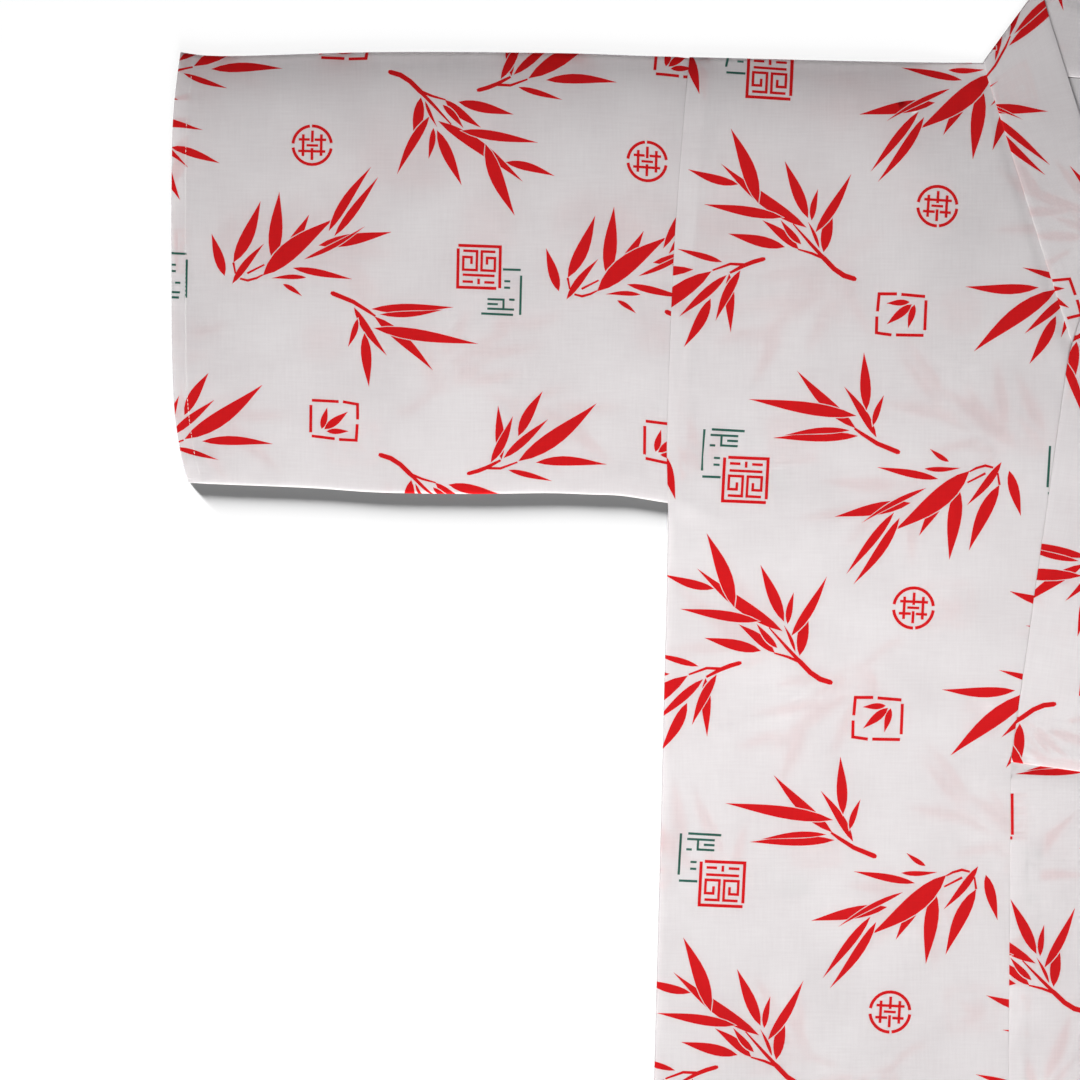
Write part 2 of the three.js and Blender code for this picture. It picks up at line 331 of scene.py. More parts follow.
printCloth = {
    "across": 237,          # one repeat
    "down": 274,
    "repeats": 12,          # each way from a panel's origin
    "largestMotif": 110,
}
leafShape = {
    "points": 8,
    "widest": 0.74,         # under 1 brings the widest place nearer the stem
    "sharpness": 1.1,
    "bow": 0.035,           # share of its length, a different one for each leaf of a spray
    "bowStep": 2.1,
    "slit": 0.6,            # bare cloth left round a leaf where it lies over another
}

# Each leaf: where it starts, its length, the way it points in degrees (0 right, 90 down) and its width
sprays = {
    "falling": {
        "stems": [
            [(-1.6, -0.6, 1.8), (0, 0, 3.4), (7, 1.8, 3.6), (14, 6, 3.4), (21, 12.5, 3.4), (25, 16, 2.4)],
            [(21, 12.5, 2), (30, 15.8, 1.8), (39.5, 18, 1)],
            [(21, 12.5, 2.6), (31, 22, 2.2), (44, 35, 0.8)],
        ],
        "leaves": [
            (48.5, 19, 40, 10, 7.4), (39, 18, 32, 35, 6.2), (37.5, 21.5, 22, 46, 4.4),
            (22, 17, 33, 96, 7.6), (28.5, 30, 47, 118, 6.4), (31.5, 38, 22, 98, 4.4),
            (34, 39.5, 42, 64, 7.6), (25, 19.5, 20, 63, 2.4), (34.5, 33, 73, 33, 8.4),
            (51, 39, 55, 6, 6.8), (68.5, 47.5, 54, 66, 9.6), (83, 59.5, 36, 13, 6),
        ],
    },
    "rising": {
        "stems": [
            [(11, 1.5, 1.4), (16.5, 2.6, 1.8), (22.5, 0.6, 1.6), (27, -2, 1)],
            [(16, -2.6, 1.6), (28, -9.5, 1.2)],
            [(6, -10, 1.6), (7.7, -2, 1.2)],
        ],
        "leaves": [
            (0, 0, 32, -108, 7), (6, -10, 49, -68, 9), (5.5, 5.5, 37.5, -54, 5.2),
            (34, -12.5, 50, -86, 9.6), (41, -17, 35, -59, 6.6), (27, -1.5, 65, -41, 13),
            (48, -8, 43, 8, 5.2), (58, -1.5, 25, 176, 3.4), (41.5, 4, 16, 31, 3.4), (66, -25, 53, -13, 8.2),
            (56, -14.5, 50, -31, 3.4), (73, -35.5, 55, -58, 6.4), (77, -32, 53, -55, 5.8),
        ],
    },
    "reaching": {
        "stems": [[(-1.6, -0.5, 1.8), (0, 0, 3.4), (14.3, 5, 3), (25, 11, 2.4), (30.5, 14.5, 1.4)]],
        "leaves": [
            (27.5, 9.5, 58.5, -4, 6.6), (33.5, 13, 45, -7, 4.2), (29.5, 14.5, 56.5, 41, 7.6),
            (29.5, 23, 75, 6, 8.4), (15, 9, 41.5, 54, 5.6), (18, 17, 22, 107, 4.2), (23, 27, 39.5, 84, 7.4),
        ],
    },
    "fanned": {
        "stems": [
            [(-1.6, 0.4, 1.6), (0, 0, 2.8), (6, -2, 3), (12.3, -4.8, 2.8), (22, -10.5, 1.6)],
            [(13, -4.4, 2), (22, -4.4, 1.8), (34, -9.4, 1.2)],
        ],
        "leaves": [
            (22.5, -11, 40, -95, 6.6), (15, -8.5, 38, -67, 6.2), (34, -28.5, 37.5, -64, 7.4),
            (24, -12, 43, -44, 6), (34.5, -10, 71, -40, 11.2), (47, -9.5, 50.5, -2, 7),
            (27.5, -3.5, 32.5, 13, 4.2),
        ],
    },
}

# Seal marks: strokes of the block, with the breaks that a hand-cut block leaves
marks = {
    "round": {
        "ring": {"radius": 13.6, "stroke": 2.1, "steps": 14, "arcs": [(8, 172), (184, 262), (268, 352)]},
        "strokes": [
            (1.9, (-6.4, -7.6), (-6.4, 7.8)), (1.9, (0, -10.4), (0, -2.2)), (1.9, (0, 2), (0, 10.4)),
            (1.9, (6.4, -7.8), (6.4, 7.4)), (1.8, (-9.6, -4), (-1.8, -4)), (1.8, (1.6, -4), (9.8, -4)),
            (1.8, (-9.8, 4.2), (9.4, 4.2)), (1.7, (-4, 0.1), (4.2, 0.1)),
        ],
    },
    "leafBlock": {
        "strokes": [
            (2.1, (-16, -13.4), (3, -14)), (2.1, (6, -14.2), (16.4, -13.2), (16.8, -2)),
            (2.1, (16.6, 1.5), (16.2, 13.6), (4, 14.2)), (2.1, (1, 14), (-15.4, 13.4)),
            (2.1, (-16.2, 10.8), (-16.6, -9.8)),
        ],
        "leaves": [(-8.5, 7.5, 17, -78, 4.6), (-6.6, 7.6, 22, -42, 5.6), (-5, 9, 16, -6, 4.2)],
    },
    "fret": {
        "cleared": 17,
        "strokes": [
            (2.1, (-15, -14.6), (14.8, -14.8), (15, 14.6)), (2.1, (12.6, 14.8), (-14.8, 15), (-15, -12.4)),
            (1.8, (-11.4, -11), (-1.6, -11), (-1.6, 2.4), (-11.2, 2.4), (-11.2, -6.6), (-5.4, -6.6),
             (-5.4, -1.8)),
            (1.8, (11.4, -11), (1.8, -11), (1.8, 2.4), (11.2, 2.4), (11.2, -6.6), (5.6, -6.6), (5.6, -1.8)),
            (1.8, (-11.4, 6), (11.2, 6)), (1.8, (-11.4, 10.8), (-4, 10.8)), (1.8, (0, 8.4), (0, 12.4)),
            (1.8, (4, 10.8), (11.2, 10.8)),
        ],
    },
    "nested": {
        "strokes": [
            (1.6, (-13.8, -2), (-13.8, -15.8), (13.6, -16)), (1.6, (14, -12), (14, 16)),
            (1.6, (9, 16.2), (-13.6, 16)),
            (1.5, (-1, -11.6), (9.6, -11.6), (9.6, 1.6), (-1, 1.6), (-1, -11.6)),
            (1.5, (2.2, -7.6), (6.4, -7.6)), (1.5, (2.2, -3), (6.4, -3)),
            (1.5, (-9.4, 5.6), (2, 5.6), (2, 12)), (1.5, (-9.4, 9), (-2, 9)),
            (1.5, (-9.4, 12.4), (9.6, 12.4)), (1.5, (6, 5.4), (9.8, 5.4)),
        ],
    },
}

# Where each motif sits in one repeat
motifs = [
    {"spray": "falling", "at": (0, 0)},
    {"spray": "reaching", "at": (-37, 158)},
    {"spray": "rising", "at": (-114, 149)},
    {"spray": "fanned", "at": (63, 284)},
    {"mark": "round", "at": (-54, 53), "ink": "red"},
    {"mark": "leafBlock", "at": (-34, 251), "ink": "red"},
    {"mark": "nested", "at": (82, 151), "ink": "green"},
    {"mark": "fret", "at": (66, 134), "ink": "red"},
]


def leafOutline(x, y, length, turn, width, bend):
    way = Vector((math.cos(math.radians(turn)), math.sin(math.radians(turn))))
    across = Vector((-way.y, way.x))
    count = leafShape["points"]
    edges = []
    for edge in (1, -1):
        for i in range(count + 1):
            share = i / count if edge > 0 else 1 - i / count
            if edge < 0 and i in (0, count):
                continue
            half = width / 2 * math.sin(math.pi * share ** leafShape["widest"]) ** leafShape["sharpness"]
            bow = bend * length * math.sin(math.pi * share)
            edges.append(Vector((x, y)) + way * (length * share) + across * (edge * abs(half) + bow))
    return edges


# The outline of a stroke along points that each have a width
def strokeOutline(points):
    left, right = [], []
    for i, (x, y, width) in enumerate(points):
        here = Vector((x, y))
        before = Vector(points[max(0, i - 1)][:2])
        after = Vector(points[min(len(points) - 1, i + 1)][:2])
        ways = [way.normalized() for way in (here - before, after - here) if way.length > 0]
        way = sum(ways, Vector((0, 0))).normalized()
        mitre = 1 / max(0.5, way.dot(ways[0]))
        across = Vector((-way.y, way.x)) * (width / 2 * mitre)
        left.append(here + across)
        right.append(here - across)
    return left + right[::-1]


def motifOutlines(motif):
    outlines = []
    if "spray" in motif:
        spray = sprays[motif["spray"]]
        for i, (x, y, length, turn, width) in enumerate(spray["leaves"]):
            bend = leafShape["bow"] * math.sin(leafShape["bowStep"] * i)
            back = leafShape["slit"] * 2
            start = x - back * math.cos(math.radians(turn)), y - back * math.sin(math.radians(turn))
            wide = width + 2 * leafShape["slit"]
            outlines.append(("bare", leafOutline(*start, length + 2 * back, turn, wide, bend)))
            outlines.append(("red", leafOutline(x, y, length, turn, width, bend)))
        outlines += [("red", strokeOutline(stem)) for stem in spray["stems"]]
        return outlines
    ink = motif["ink"]
    mark = marks[motif["mark"]]
    if "cleared" in mark:       # a block printed over another one keeps its own ground clear
        corners = [(-1, -1), (1, -1), (1, 1), (-1, 1)]
        outlines.append(("bare", [Vector(corner) * mark["cleared"] for corner in corners]))
    for width, *points in mark["strokes"]:
        outlines.append((ink, strokeOutline([(x, y, width) for x, y in points])))
    for leaf in mark.get("leaves", []):
        outlines.append((ink, leafOutline(*leaf, 0)))
    if "ring" in mark:
        ring = mark["ring"]
        steps = ring["steps"]
        for start, end in ring["arcs"]:
            angles = [math.radians(start + (end - start) * k / steps) for k in range(steps + 1)]
            outlines.append((ink, strokeOutline([
                (ring["radius"] * math.cos(a), ring["radius"] * math.sin(a), ring["stroke"]) for a in angles
            ])))
    return outlines


motifShapes = [motifOutlines(motif) for motif in motifs]
print("print drawn:", sum(len(shape) for shape in motifShapes), "outlines in one repeat")


# Materials


def linear(hexColour):
    channels = [int(hexColour[i:i + 2], 16) / 255 for i in (1, 3, 5)]
    return [c / 12.92 if c <= 0.04045 else ((c + 0.055) / 1.055) ** 2.4 for c in channels] + [1]


def addNode(tree, kind, settings=None, inputs=None):
    node = tree.nodes.new(kind)
    for name, value in (settings or {}).items():
        setattr(node, name, value)
    for name, value in (inputs or {}).items():
        if isinstance(value, bpy.types.NodeSocket):
            tree.links.new(value, node.inputs[name])
        else:
            node.inputs[name].default_value = value
    return node


cottonLook = {
    "thread": 0.95,         # mm; real threads are 0.4 apart, too fine to show, so they are drawn this coarse
    "slubWide": 1.3,        # mm, a thick place in a thread
    "slubLong": 22,
    "mottleSize": 55,       # mm, how evenly the cloth took its finish
    "mottleShare": 0.8,
    "tintRange": (0.95, 1.85),      # from shade to colour, for the slubs and the mottling together
    "reverseRange": (0.3, 0.7),     # the same for the mottling alone
    "threadHigh": 0.12,     # mm
    "bump": 0.35,
    "roughness": 0.88,
    "sheen": 0.12,
    "through": 0.6,         # share of the light that passes on through each face of the thin cloth
}


def makeMaterial(name):
    material = bpy.data.materials.new(name)
    material.use_nodes = True
    material.node_tree.nodes.clear()
    return material, material.node_tree


def mottleOf(tree, uv, detail):
    return addNode(tree, "ShaderNodeTexNoise", inputs={
        "Vector": uv.outputs[0], "Scale": 1000 / cottonLook["mottleSize"], "Detail": detail, "Roughness": 0.6,
    })


def tintOf(tree, value, least, most, shade, colour):
    share = addNode(tree, "ShaderNodeMapRange", inputs={
        "Value": value, "From Min": least, "From Max": most, "To Min": 0, "To Max": 1,
    })
    return addNode(tree, "ShaderNodeMix", {"data_type": "RGBA"}, {
        "Factor": share.outputs[0], 6: linear(shade), 7: linear(colour),
    })


# The thin cloth lets a share of the light through, so what lies beneath shows as a soft blush
def finishCotton(tree, face, throughColour):
    through = addNode(tree, "ShaderNodeBsdfTranslucent", inputs={
        "Color": linear(throughColour),
    })
    both = addNode(tree, "ShaderNodeMixShader", inputs={
        0: cottonLook["through"], 1: face.outputs[0], 2: through.outputs[0],
    })
    addNode(tree, "ShaderNodeOutputMaterial", inputs={"Surface": both.outputs[0]})


# Plain-weave cotton, pressed: two sets of threads cross, each with slubs, under a mottled matt finish
def makeCotton(name, colour, shade, throughColour):
    look = cottonLook
    material, tree = makeMaterial(name)
    uv = addNode(tree, "ShaderNodeUVMap", {"uv_map": "cloth"})
    slubs, threads = [], []
    for direction in ("X", "Y"):
        wide, long = 1000 / look["slubWide"], 1000 / look["slubLong"]
        scale = (wide, long, 1) if direction == "X" else (long, wide, 1)
        stretched = addNode(tree, "ShaderNodeMapping", inputs={"Vector": uv.outputs[0], "Scale": scale})
        slubs.append(addNode(tree, "ShaderNodeTexNoise", inputs={
            "Vector": stretched.outputs[0], "Scale": 1, "Detail": 1, "Roughness": 0.55,
        }))
        threads.append(addNode(tree, "ShaderNodeTexWave", {"bands_direction": direction}, {
            "Vector": uv.outputs[0], "Scale": 0.1 * math.pi / look["thread"] * 1000,
        }))
    slub = addNode(tree, "ShaderNodeMath", {"operation": "ADD"}, {
        0: slubs[0].outputs[0], 1: slubs[1].outputs[0],
    })
    mixed = addNode(tree, "ShaderNodeMath", {"operation": "MULTIPLY_ADD"}, {
        0: mottleOf(tree, uv, 2).outputs[0], 1: look["mottleShare"], 2: slub.outputs[0],
    })
    tint = tintOf(tree, mixed.outputs[0], *look["tintRange"], shade, colour)
    weave = addNode(tree, "ShaderNodeMath", {"operation": "ADD"}, {
        0: threads[0].outputs["Fac"], 1: threads[1].outputs["Fac"],
    })
    bump = addNode(tree, "ShaderNodeBump", inputs={
        "Height": weave.outputs[0], "Strength": look["bump"], "Distance": look["threadHigh"] * mm,
    })
    face = addNode(tree, "ShaderNodeBsdfPrincipled", inputs={
        "Base Color": tint.outputs[2], "Roughness": look["roughness"], "IOR": 1.5,
        "Specular IOR Level": 0.25, "Sheen Weight": look["sheen"], "Sheen Roughness": 0.5,
        "Normal": bump.outputs[0],
    })
    finishCotton(tree, face, throughColour)
    return material


# The cloth's inner face, which never catches a direct light: the same mottled finish, wholly matt
def makeReverse(name, colour, shade, throughColour):
    material, tree = makeMaterial(name)
    uv = addNode(tree, "ShaderNodeUVMap", {"uv_map": "cloth"})
    tint = tintOf(tree, mottleOf(tree, uv, 1).outputs[0], *cottonLook["reverseRange"], shade, colour)
    face = addNode(tree, "ShaderNodeBsdfDiffuse", inputs={"Color": tint.outputs[2]})
    finishCotton(tree, face, throughColour)
    return material


# The print is pigment, screened on to the right side: crisp and matt there, and paler on the reverse
materials = [
    makeCotton("wovenCotton", "#f6f4f4", "#e6e2e3", "#fbf9f9"),
    makeCotton("redPigmentOnCotton", "#f01c22", "#dc161e", "#f0141c"),
    makeCotton("greenPigmentOnCotton", "#22695a", "#1a5648", "#6fa396"),
    makeReverse("wovenCottonReverse", "#f5f3f3", "#e9e5e5", "#fbf9f9"),
    makeReverse("redStruckThrough", "#ea6462", "#e05a58", "#ec5c5a"),
    makeReverse("greenStruckThrough", "#c4d6d0", "#b9cdc6", "#c9d9d4"),
]
inkSlots = {"bare": 0, "red": 1, "green": 2}
reverseOffset = 3
print("materials made")


def anticlockwise(loop):
    area = sum(a.cross(b) for a, b in zip(loop, loop[1:] + loop[:1]))
    return loop if area > 0 else loop[::-1]


# A triangle that is nearly a line can turn over where the cloth bends. The narrowest
# are closed up, and a wider one is joined along its other diagonal.
def mendSlivers(mesh):
    shape = bmesh.new()
    shape.from_mesh(mesh)
    bmesh.ops.dissolve_degenerate(shape, dist=cloth["nearest"] * mm, edges=shape.edges)
    bmesh.ops.triangulate(shape, faces=[face for face in shape.faces if len(face.verts) > 3])
    shape.normal_update()
    turnedOver = []
    for face in shape.faces:
        around = [near for edge in face.edges for near in edge.link_faces if near is not face]
        if around and all(face.normal.dot(near.normal) < 0 for near in around):
            turnedOver.append(face)
    for face in turnedOver:
        if face.is_valid:
            longest = max(face.edges, key=lambda edge: edge.calc_length())
            if len(longest.link_faces) == 2:
                bmesh.utils.edge_rotate(longest)
    shape.to_mesh(mesh)
    shape.free()


# A panel is drawn flat, with its print as outlines in the mesh, and each of its points is then placed.
# It runs from low to high across, for each row down, and has guide lines where it bends sharply.
def makePanel(name, panel, place, clothAt, flatAt):
    rows, low, high = panel["rows"], panel["low"], panel["high"]
    outline = [(high(t), t) for t in rows] + [(low(t), t) for t in reversed(rows)]
    points = [Vector(p) for p in outline]
    edges = []
    faces = [list(range(len(points)))]
    kinds = ["bare"]
    least, most = min(p[0] for p in outline), max(p[0] for p in outline)
    middle = (least + most) / 2, (rows[0] + rows[-1]) / 2
    half = (most - least) / 2, (rows[-1] - rows[0]) / 2
    repeats = range(-printCloth["repeats"], printCloth["repeats"] + 1)
    for i, j, (motif, shapes) in product(repeats, repeats, zip(motifs, motifShapes)):
        ax = motif["at"][0] + i * printCloth["across"]
        ay = motif["at"][1] + j * printCloth["down"]
        centre = flatAt(ax, ay)
        if any(abs(centre[k] - middle[k]) > half[k] + printCloth["largestMotif"] for k in (0, 1)):
            continue
        for ink, shape in shapes:
            loop = anticlockwise([Vector(flatAt(ax + p.x, ay + p.y)) for p in shape])
            faces.append(list(range(len(points), len(points) + len(loop))))
            kinds.append(ink)
            points += loop
    margin = cloth["grid"] * cloth["clearance"]
    nearest = cloth["nearest"]
    lastGuides = {}
    for t in rows:
        a, b = low(t), high(t)
        guides = [q for q in panel["columns"] if a + nearest < q < b - nearest]
        guides += [b - q for q in panel["highColumns"] if a < b - q < b - nearest]
        count = int((most - least) // cloth["grid"])
        plain = [least + (k + 0.5) * cloth["grid"] for k in range(count)]
        inner = [q for q in plain if a + margin < q < b - margin and all(abs(q - g) > margin for g in guides)]
        here = {}
        for q in guides:
            here[round(q if q in panel["columns"] else q - b, 4)] = len(points)
            points.append(Vector((q, t)))
        for key, index in here.items():
            if key in lastGuides:
                edges.append((lastGuides[key], index))
        lastGuides = here
        line = sorted(guides + inner)
        points += [Vector((q, t)) for q in inner]
        if t in panel["guideRows"]:
            stops = [a] + line + [b]
            for k in range(len(stops)):
                points.append(Vector((stops[k], t)))
                if k:
                    edges.append((len(points) - 2, len(points) - 1))
    flat, _, triangles, _, _, origins = delaunay_2d_cdt(points, edges, faces, 0, cloth["weld"], True)
    kept, inks = [], []
    for triangle, ids in zip(triangles, origins):
        if 0 in ids:
            kept.append(triangle)
            inks.append(inkSlots[kinds[max(ids)]])      # what was printed last lies on top
    used = sorted({index for triangle in kept for index in triangle})
    newIndex = {index: k for k, index in enumerate(used)}
    places = [place(*flat[index]) for index in used]
    if panel["flip"]:
        kept = [triangle[::-1] for triangle in kept]
    mesh = bpy.data.meshes.new(name)
    mesh.from_pydata(places, [], [[newIndex[index] for index in triangle] for triangle in kept])
    uvs = mesh.uv_layers.new(name="cloth")
    for polygon, ink in zip(mesh.polygons, inks):
        polygon.material_index = ink
        polygon.use_smooth = True
        for loop in polygon.loop_indices:
            x, t = clothAt(*flat[used[mesh.loops[loop].vertex_index]])
            uvs.data[loop].uv = (x * mm, t * mm)
    mendSlivers(mesh)
    for material in materials:
        mesh.materials.append(material)
    panelObject = addObject(name, mesh)
    thick = panelObject.modifiers.new("thickness", "SOLIDIFY")
    thick.thickness = cloth["thickness"] * mm
    thick.offset = -1
    thick.material_offset = reverseOffset
    print(name, "has", len(mesh.polygons), "faces")
    return panelObject


# The print's place on a panel: its origin there, turned round or not, with the pull that the cloth was
# cut and laid with (wider, longer, leaning to a side, tilted across)
def printed(setup, x, y):
    ox, ot = setup["origin"]
    wide, long, lean, tilt = setup["pull"]
    turn = -1 if setup["turned"] else 1
    t = ot + turn * (y * long + x * tilt)
    return ox + turn * (x * wide + y * long * lean), t


def spaced(start, end, step):
    count = max(1, round(abs(end - start) / step))
    return [start + (end - start) * k / count for k in range(count + 1)]


turnSteps = [k * math.pi / 6 for k in range(7)]
turnColumns = [cloth["turnRadius"] * (1 - a) for a in turnSteps]
seamColumns = [cloth["seamRadius"] * (1 - a) for a in (0, 0.26, 0.52, 0.79, 1.05, 1.31)]
tuckColumns = [2, cloth["tuck"], 8.5, 11, 13.5, 16]
neckGuides = [-24, -20, -17, -14.5, -13, -11.5, -10.2]
foldGuides = [-9, -7, -5, -4, -3.2, -2.5, -1.9, -1.3, -0.7, 0, 0.7, 1.4, 2.2, 3.2, 4.4, 6, 8, 10.5, 13.5, 17]


def turnRows(end):
    turn = cloth["turnRadius"]
    return [end - turn + a * turn for a in turnSteps]


# Body lengths: each from the front hem, over the shoulder, to the back hem

bodySize = {
    "hem": 15,              # turned under
    "allowance": 14,        # turned under along the armhole
    "allowanceEnds": (296, 316),
    "seamBlend": (300, 330),
    "fallRun": 12,          # the tuck beside the collar sets in over this run
    "sideFade": 15,         # below the armhole, the creases fade out this near the side seam
    "sideFadeFrom": (290, 320),
    "cut": (0.345, 1.795),
    "print": {
        -1: {"origin": (-183.5, 158.2), "turned": True, "pull": (1.035, 1.047, -0.058, 0.05)},
        1: {"origin": (205, 92), "turned": False, "pull": (1.03, 1.047, 0.03, -0.03)},
    },
}


def frontHemRun():
    return garment["length"] + frontExtra


def backHemRun():
    return garment["length"] + backExtra


def bodyRadius(depth):
    start, end = bodySize["seamBlend"]
    return lerp(cloth["turnRadius"], cloth["seamRadius"], smooth((depth - start) / (end - start)))


def bodyInner(run, depth):
    if run > 0:
        return along(frontEdge, depth, rounded=False) + garment["gap"] / 2
    if depth < garment["neckDip"]:
        return garment["neckPoint"][0] * math.sqrt(1 - depth / garment["neckDip"]) + garment["gap"]
    return garment["gap"] / 2


def hemmedRun(run):
    hemRun = frontHemRun() if run > 0 else backHemRun()
    start = hemRun - cloth["turnRadius"]
    advance, drop = turned(abs(run) - start, cloth["turnRadius"])
    return math.copysign(start + advance, run) if abs(run) > start else run, drop


def placeBody(side, q, run):
    flatRun, hemDrop = hemmedRun(run)
    depth = foldPoint(flatRun, 1)[0]
    radius = bodyRadius(depth)
    advance, sideDrop = turned(radius - q, radius)
    reach = along(sideEdge, depth) - radius + advance
    softness = smooth((reach - garment["rollStarts"]) / (garment["rollFull"] - garment["rollStarts"]))
    fall = 0
    if run > 0:
        byCollar = depth < garment["gussetTop"][1]
        most = cloth["collarFall"] if byCollar else cloth["tuckFall"]
        toInner = reach - bodyInner(run, depth)
        tucked = smooth((cloth["tuckRun"] - toInner) / cloth["tuckRun"])
        fall = most * tucked * smooth(run / bodySize["fallRun"])
    depth, up = sectionPoint(flatRun, softness, hemDrop + sideDrop + fall)
    if run > 0:
        start, end = bodySize["sideFadeFrom"]
        toSide = lerp(1, smooth(q / bodySize["sideFade"]), smooth((depth - start) / (end - start)))
        up += ripple(side * reach, shoulderY - depth) * smooth(run / cloth["rippleFrom"]) * toSide
        if side > 0:
            up += liftAt(reach, depth)
    return placed(side, reach, depth - riseAt(reach, depth), up)


def makeBody(side, name):
    turn = cloth["turnRadius"]
    frontTurn, backTurn = turnRows(frontHemRun()), [-row for row in turnRows(backHemRun())]
    startFade, endFade = bodySize["allowanceEnds"]
    fineStart, fineEnd = startFade - 4, endFade + 12

    def depthOf(run):
        return foldPoint(hemmedRun(run)[0], 1)[0]

    def low(run):
        depth = depthOf(run)
        hem = frontHemRun() if run > 0 else backHemRun()
        if abs(run) > hem - turn + cloth["hair"]:
            return cloth["hemSetIn"]
        closed = cloth["seamRadius"] * (1 - math.pi / 2)
        allowance = turn * (1 - math.pi) - bodySize["allowance"]
        return lerp(allowance, closed, min(1, max(0, (depth - startFade) / (endFade - startFade))))

    def high(run):
        depth = depthOf(run)
        tuck = cloth["tuck"] if run > 0 else 0
        return along(sideEdge, depth) - bodyInner(run, depth) + tuck

    rows = spaced(backTurn[-1] - bodySize["hem"], backTurn[-1], cloth["hemGrid"])[:-1] + backTurn[::-1]
    rows += spaced(backTurn[0], -fineEnd, cloth["grid"])[1:]
    rows += spaced(-fineEnd, -fineStart, cloth["stepGrid"])[1:]
    rows += spaced(-fineStart, neckGuides[0], cloth["grid"])[1:] + neckGuides[1:] + foldGuides
    rows += spaced(foldGuides[-1], fineStart, cloth["frontGrid"])[1:]
    rows += spaced(fineStart, fineEnd, cloth["stepGrid"])[1:]
    rows += spaced(fineEnd, frontTurn[0], cloth["grid"])[1:] + frontTurn[1:]
    rows += spaced(frontTurn[-1], frontTurn[-1] + bodySize["hem"], cloth["hemGrid"])[1:]
    panel = {
        "rows": rows,
        "low": low,
        "high": high,
        "columns": turnColumns + seamColumns,
        "highColumns": tuckColumns,
        "guideRows": set(foldGuides + frontTurn + backTurn),
        "flip": side < 0,
    }
    setup = bodySize["print"][side]

    def clothAt(q, run):
        return side * (along(sideEdge, abs(run)) - q), run

    def flatAt(x, y):
        clothX, run = printed(setup, x, y)
        return along(sideEdge, abs(run)) - side * clothX, run

    return makePanel(name, panel, lambda q, run: placeBody(side, q, run), clothAt, flatAt)


for side, name, node in ((-1, "bodyRight", "body_right"), (1, "bodyLeft", "body_left")):
    body = makeBody(side, name)
    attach(body, "root")
    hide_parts(node)
print("body lengths made")

# Sleeves: folded at the top, sewn along the bottom, hemmed at the cuff

sleeveSize = {
    "hem": 11,
    "cornerStop": 2.5,      # the cuff's hem stops this far above the sewn bottom
    "bottomFade": 15,       # the creases fade out this near it
    "cut": (0.38, 0.64),
    "print": {
        -1: {"origin": (-512, 16), "turned": False, "pull": (1, 1, -0.025, 0.042)},
        1: {"origin": (452, 120), "turned": True, "pull": (1, 1, 0.02, -0.03)},
    },
}


def sleeveShape(run):
    radius = cloth["seamRadius"]
    face = 1 if run > 0 else -1
    start = abs(runAt(garment["sleeveDepth"] - radius, face))
    advance, drop = turned(abs(run) - start, radius)
    flatRun = math.copysign(start + advance, run) if abs(run) > start else run
    depth = foldPoint(flatRun, 1)[0]
    cuff = along(cuffEdge, depth * garment["cuffDepth"] / garment["sleeveDepth"])
    armhole = along(sideEdge, depth) + garment["gap"]
    return flatRun, drop, depth, cuff, armhole


def placeSleeve(side, q, run):
    flatRun, bottomDrop, depth, cuff, armhole = sleeveShape(run)
    radius = cloth["turnRadius"]
    advance, cuffDrop = turned(radius - q, radius)
    reach = cuff - radius + advance
    fall = cloth["tuckFall"] * smooth((cloth["tuckRun"] - (reach - armhole)) / cloth["tuckRun"])
    longer = (along(sleeveBottom, reach) - garment["sleeveDepth"]) * (depth / garment["sleeveDepth"]) ** 2
    drop = min(bottomDrop + cuffDrop + fall, cloth["seamRadius"])
    depth, up = sectionPoint(flatRun, 1, drop)
    depth += longer
    if run > 0:
        toBottom = smooth((garment["sleeveDepth"] - foldPoint(flatRun, 1)[0]) / sleeveSize["bottomFade"])
        up += ripple(side * reach, shoulderY - depth) * smooth(run / cloth["rippleFrom"]) * toBottom
    return placed(side, reach, depth - riseAt(reach, depth), up)


def makeSleeve(side, name):
    radius, turn = cloth["seamRadius"], cloth["turnRadius"]
    frontStart = runAt(garment["sleeveDepth"] - radius, 1)
    backStart = runAt(garment["sleeveDepth"] - radius, -1)
    bend = [radius * math.pi / 2 * k / 5 for k in range(1, 6)]
    stop = sleeveSize["cornerStop"]

    def low(run):
        start = frontStart if run > 0 else -backStart
        if abs(run) > start - stop:
            return turn
        return turn * (1 - math.pi) - sleeveSize["hem"]

    def high(run):
        _, _, _, cuff, armhole = sleeveShape(run)
        return cuff - armhole + cloth["tuck"]

    # Rows lie just before and after each step in the outline
    bottomRows = [frontStart - stop + 0.1, frontStart]
    rows = [backStart - b for b in reversed(bend)]
    rows += [backStart, backStart + stop - 0.1, backStart + stop + 0.3]
    rows += spaced(backStart + stop + 0.3, foldGuides[0], cloth["grid"])[1:-1] + foldGuides
    rows += spaced(foldGuides[-1], frontStart - stop - 0.3, cloth["frontGrid"])[1:]
    rows += bottomRows + [frontStart + b for b in bend]
    panel = {
        "rows": rows,
        "low": low,
        "high": high,
        "columns": turnColumns,
        "highColumns": tuckColumns,
        "guideRows": set(foldGuides + bottomRows + [backStart]),
        "flip": side < 0,
    }
    setup = sleeveSize["print"][side]

    def cuffAt(run):
        return along(cuffEdge, abs(run) * garment["cuffDepth"] / garment["sleeveDepth"])

    def clothAt(q, run):
        return side * (cuffAt(run) - q), run

    def flatAt(x, y):
        clothX, run = printed(setup, x, y)
        return cuffAt(run) - side * clothX, run

    return makePanel(name, panel, lambda q, run: placeSleeve(side, q, run), clothAt, flatAt)


for side, name, node in ((-1, "sleeveRight", "sleeve_right"), (1, "sleeveLeft", "sleeve_left")):
    sleeve = makeSleeve(side, name)
    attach(sleeve, "root")
    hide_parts(node)
print("sleeves made")

